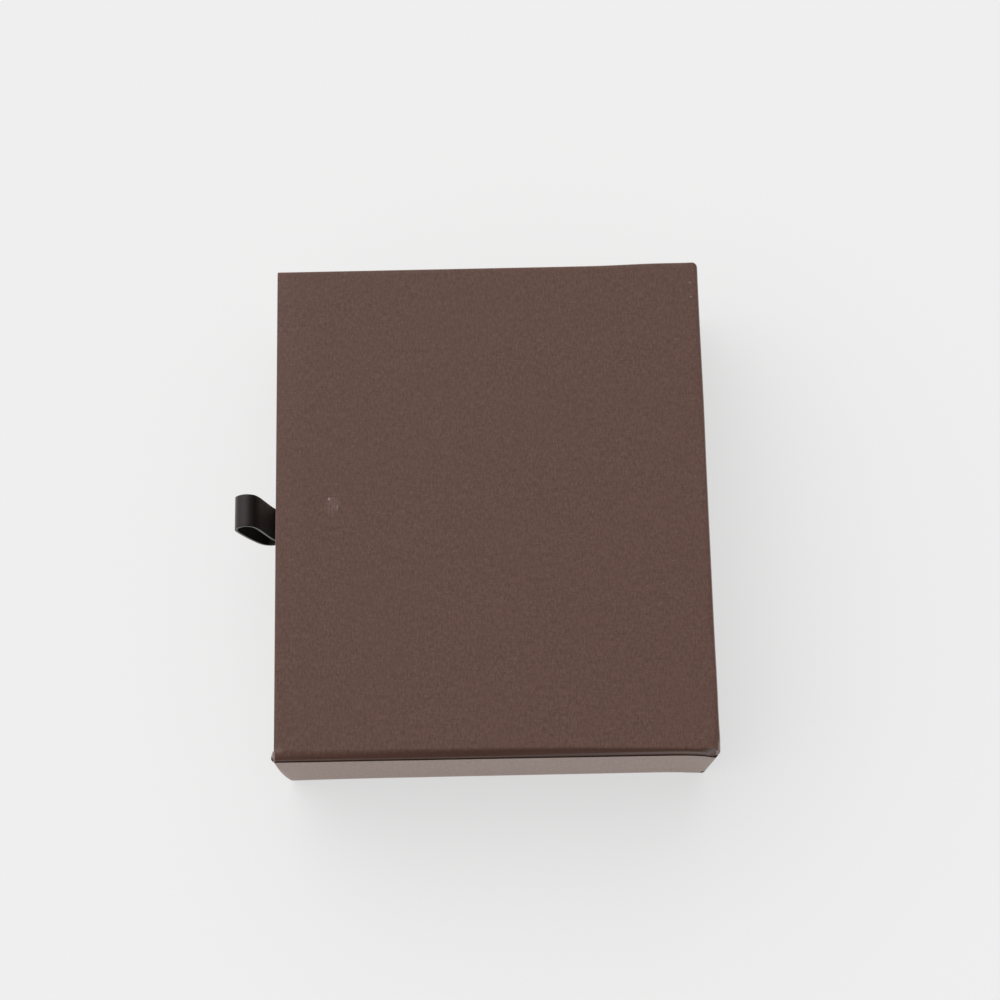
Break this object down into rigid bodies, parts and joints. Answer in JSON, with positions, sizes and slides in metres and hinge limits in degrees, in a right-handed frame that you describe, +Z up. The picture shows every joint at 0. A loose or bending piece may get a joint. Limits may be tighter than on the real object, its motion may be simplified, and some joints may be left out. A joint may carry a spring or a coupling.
{
  "type": "sliding drawer gift box",
  "caption": "Flat rigid paperboard gift box: a paper-wrapped sleeve closed at one end, with a lined drawer that slides out by a strap loop.",
  "frame": {"origin": "centre of the sleeve's underside, where the box rests", "axes": "+Z up, -X towards the mouth and the pull loop along the drawer's travel, +Y across the box"},
  "size_m": [0.1365, 0.145, 0.0455],
  "materials": {
    "cover_paper": "satin",
    "drawer_paper": "satin",
    "lining_paper": "matte",
    "greyboard": "matte",
    "stay_tape": "matte",
    "strap": "satin"
  },
  "bodies": {
    "sleeve": {"cover_board": "greyboard", "cover_wrap": "cover_paper", "sleeve_base_board": "greyboard", "sleeve_near_wall": "greyboard", "sleeve_far_wall": "greyboard", "sleeve_end_wall": "greyboard", "sleeve_corner_stays": "stay_tape", "sleeve_side_wrap": "cover_paper", "sleeve_base_sheet": "cover_paper", "sleeve_ceiling_lining": "lining_paper", "sleeve_floor_lining": "lining_paper", "sleeve_near_lining": "lining_paper", "sleeve_far_lining": "lining_paper", "sleeve_end_lining": "lining_paper"},
    "drawer": {"drawer_base_board": "greyboard", "drawer_front_board": "greyboard", "drawer_back_board": "greyboard", "drawer_near_board": "greyboard", "drawer_far_board": "greyboard", "drawer_corner_stays": "stay_tape", "drawer_wrap": "drawer_paper", "drawer_base_sheet": "drawer_paper", "drawer_floor_lining": "lining_paper", "drawer_front_lining": "lining_paper", "drawer_back_lining": "lining_paper", "drawer_near_lining": "lining_paper", "drawer_far_lining": "lining_paper", "strap_tails": "strap", "strap_patch": "stay_tape"},
    "pull": {"pull_loop": "strap"}
  },
  "joints": [
    {"name": "drawer_slide", "type": "slide", "parent": "sleeve", "child": "drawer", "axis": [-1, 0, 0], "range_m": [0, 0.122]},
    {"name": "loop_tilt", "type": "hinge", "parent": "drawer", "child": "pull", "pos_m": [-0.0626, 0, 0.02275], "axis": [0, -1, 0], "range_deg": [-10, 70]}
  ]
}
